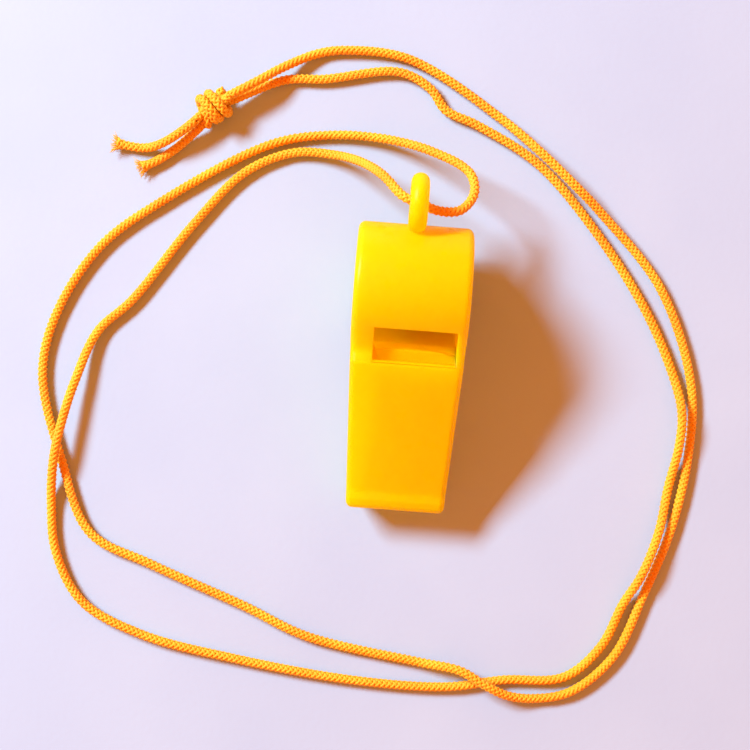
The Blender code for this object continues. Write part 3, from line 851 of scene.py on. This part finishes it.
def raw_cork():
    """Cork: warm tan grains of many tones, dark pits and a dry, matte surface."""
    material = bpy.data.materials.new("raw_cork")
    material.use_nodes = True
    nodes = material.node_tree.nodes
    links = material.node_tree.links
    shader = nodes["Principled BSDF"]
    shader.inputs["Roughness"].default_value = 0.85
    place = nodes.new("ShaderNodeTexCoord")
    grains = nodes.new("ShaderNodeTexVoronoi")
    grains.inputs["Scale"].default_value = 900.0
    links.new(place.outputs["Object"], grains.inputs["Vector"])
    tone = nodes.new("ShaderNodeValToRGB")
    tone.color_ramp.elements[0].color = (0.24, 0.12, 0.055, 1.0)
    tone.color_ramp.elements[1].color = (0.62, 0.42, 0.24, 1.0)
    links.new(grains.outputs["Color"], tone.inputs["Fac"])
    links.new(tone.outputs["Color"], shader.inputs["Base Color"])
    relief = nodes.new("ShaderNodeBump")
    relief.inputs["Strength"].default_value = 0.6
    relief.inputs["Distance"].default_value = 0.0001
    links.new(grains.outputs["Distance"], relief.inputs["Height"])
    links.new(relief.outputs["Normal"], shader.inputs["Normal"])
    return material


pea.data.materials.append(raw_cork())
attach(pea, "pea")
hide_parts("pea")


# ---- Table, light and surroundings ----
# A plain pale table by a window: cool soft light from the upper left, and a warm room above that
# fills the shadows.  Towards the horizon the room is pale, like the table.
TABLE_HALF_SIDE = 0.7
table_shape = bmesh.new()
bmesh.ops.create_grid(table_shape, x_segments=1, y_segments=1, size=TABLE_HALF_SIDE)
table = as_object(table_shape, "table")


def pale_card():
    """Pale lilac card with faint patches and a fine tooth."""
    material = bpy.data.materials.new("pale_card")
    material.use_nodes = True
    nodes = material.node_tree.nodes
    links = material.node_tree.links
    shader = nodes["Principled BSDF"]
    shader.inputs["Roughness"].default_value = 0.85
    place = nodes.new("ShaderNodeTexCoord")
    patches = nodes.new("ShaderNodeTexNoise")
    patches.inputs["Scale"].default_value = 28.0
    patches.inputs["Detail"].default_value = 4.0
    links.new(place.outputs["Object"], patches.inputs["Vector"])
    tone = nodes.new("ShaderNodeValToRGB")
    tone.color_ramp.elements[0].position = 0.3
    tone.color_ramp.elements[0].color = (0.42, 0.485, 0.57, 1.0)
    tone.color_ramp.elements[1].position = 0.7
    tone.color_ramp.elements[1].color = (0.45, 0.515, 0.59, 1.0)
    links.new(patches.outputs["Fac"], tone.inputs["Fac"])
    links.new(tone.outputs["Color"], shader.inputs["Base Color"])
    tooth = nodes.new("ShaderNodeTexNoise")
    tooth.inputs["Scale"].default_value = 900.0
    tooth.inputs["Detail"].default_value = 3.0
    links.new(place.outputs["Object"], tooth.inputs["Vector"])
    relief = nodes.new("ShaderNodeBump")
    relief.inputs["Strength"].default_value = 0.25
    relief.inputs["Distance"].default_value = 0.0001
    links.new(tooth.outputs["Fac"], relief.inputs["Height"])
    links.new(relief.outputs["Normal"], shader.inputs["Normal"])
    return material


table.data.materials.append(pale_card())

LAMP_DISTANCE = 1.15
LAMP_HEIGHT_ANGLE = math.radians(38.0)
LAMP_TURN = math.radians(148.0)
LAMP_WIDTH = 0.43
LAMP_HEIGHT = 0.2
LAMP_POWER = 32.5
DAYLIGHT = (0.46, 0.76, 1.0)
PALE_WALLS = (0.70, 0.70, 0.78, 1.0)
WARM_CEILING = (0.95, 0.26, 0.035, 1.0)
WALLS_END = 0.14
CEILING_START = 0.32
ROOM_STRENGTH = 1.25
lamp_data = bpy.data.lights.new("window_light", "AREA")
lamp_data.shape = "RECTANGLE"
lamp_data.size = LAMP_WIDTH
lamp_data.size_y = LAMP_HEIGHT
lamp_data.energy = LAMP_POWER
lamp_data.color = DAYLIGHT
lamp = bpy.data.objects.new("window_light", lamp_data)
lamp.location = Vector((math.cos(LAMP_HEIGHT_ANGLE) * math.cos(LAMP_TURN),
                        math.cos(LAMP_HEIGHT_ANGLE) * math.sin(LAMP_TURN),
                        math.sin(LAMP_HEIGHT_ANGLE))) * LAMP_DISTANCE
lamp.rotation_euler = lamp.location.to_track_quat("Z", "Y").to_euler()
bpy.context.scene.collection.objects.link(lamp)

room = bpy.data.worlds.new("room")
room.use_nodes = True
room_nodes = room.node_tree.nodes
room_links = room.node_tree.links
direction = room_nodes.new("ShaderNodeTexCoord")
height = room_nodes.new("ShaderNodeSeparateXYZ")
room_links.new(direction.outputs["Generated"], height.inputs["Vector"])
room_tone = room_nodes.new("ShaderNodeValToRGB")
room_tone.color_ramp.elements[0].position = WALLS_END
room_tone.color_ramp.elements[0].color = PALE_WALLS
room_tone.color_ramp.elements[1].position = CEILING_START
room_tone.color_ramp.elements[1].color = WARM_CEILING
room_links.new(height.outputs["Z"], room_tone.inputs["Fac"])
room_links.new(room_tone.outputs["Color"], room_nodes["Background"].inputs["Color"])
room_nodes["Background"].inputs["Strength"].default_value = ROOM_STRENGTH
bpy.context.scene.world = room
bpy.context.scene.view_settings.view_transform = "Standard"
